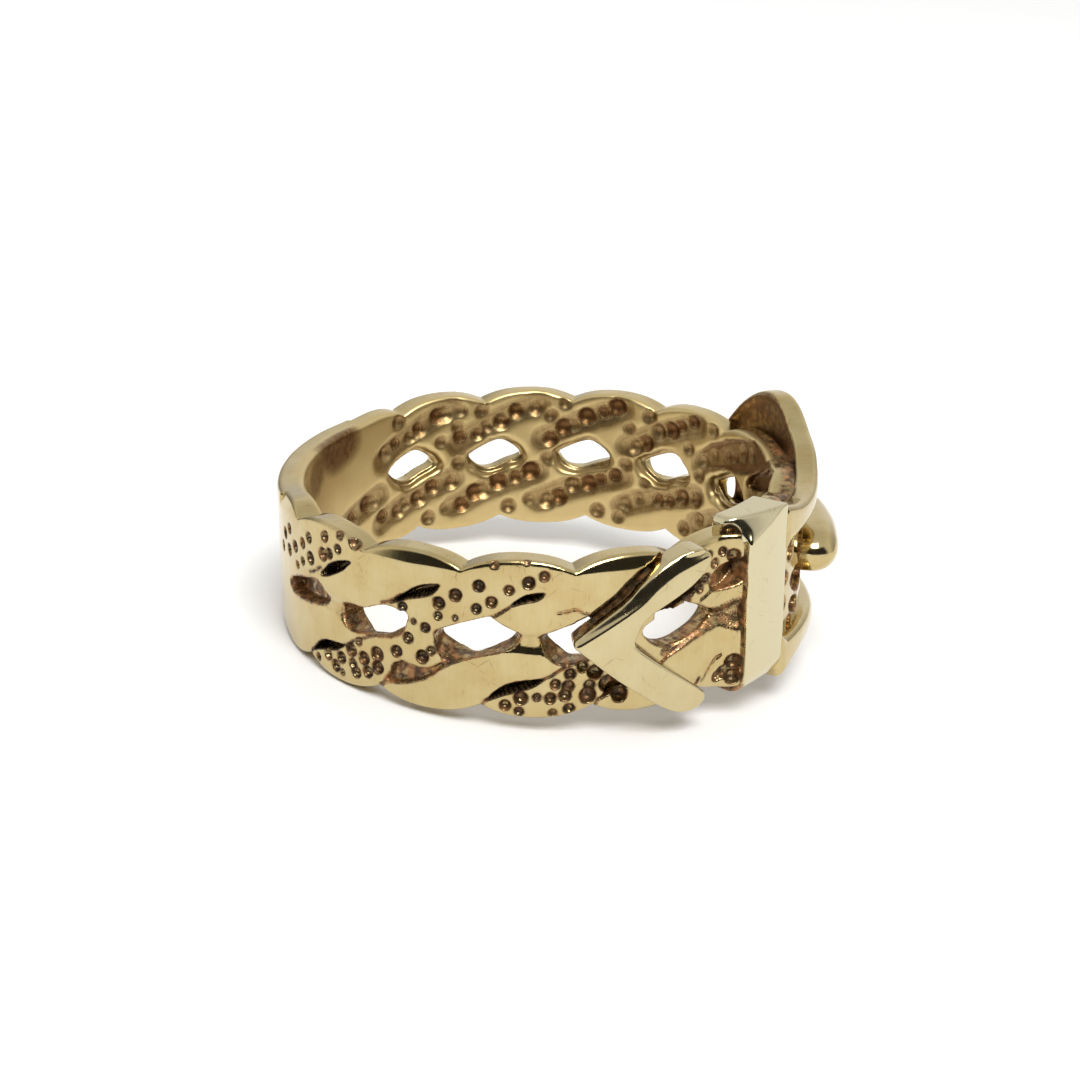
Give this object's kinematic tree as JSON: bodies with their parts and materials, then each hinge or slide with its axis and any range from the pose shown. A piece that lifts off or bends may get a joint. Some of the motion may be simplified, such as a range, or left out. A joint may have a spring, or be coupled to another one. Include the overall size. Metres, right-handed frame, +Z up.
{
  "type": "braided band ring with buckle",
  "caption": "Pale gold openwork ring: a braided band of polished and pitted strands worn as a strap, closed by a small buckle with keeper, prong and pointed strap tip.",
  "frame": {"origin": "middle of the ring's box on the surface it lies on", "axes": "+Z up, with the ring on its side as it rests; -Y towards the buckle's prong, -X towards the strap's tip"},
  "size_m": [0.0216, 0.0225, 0.0099],
  "materials": {
    "gold": "polished pale yellow gold with fine scratches, darker and rough in the recesses"
  },
  "bodies": {
    "root": {"ring": "gold"}
  },
  "joints": []
}
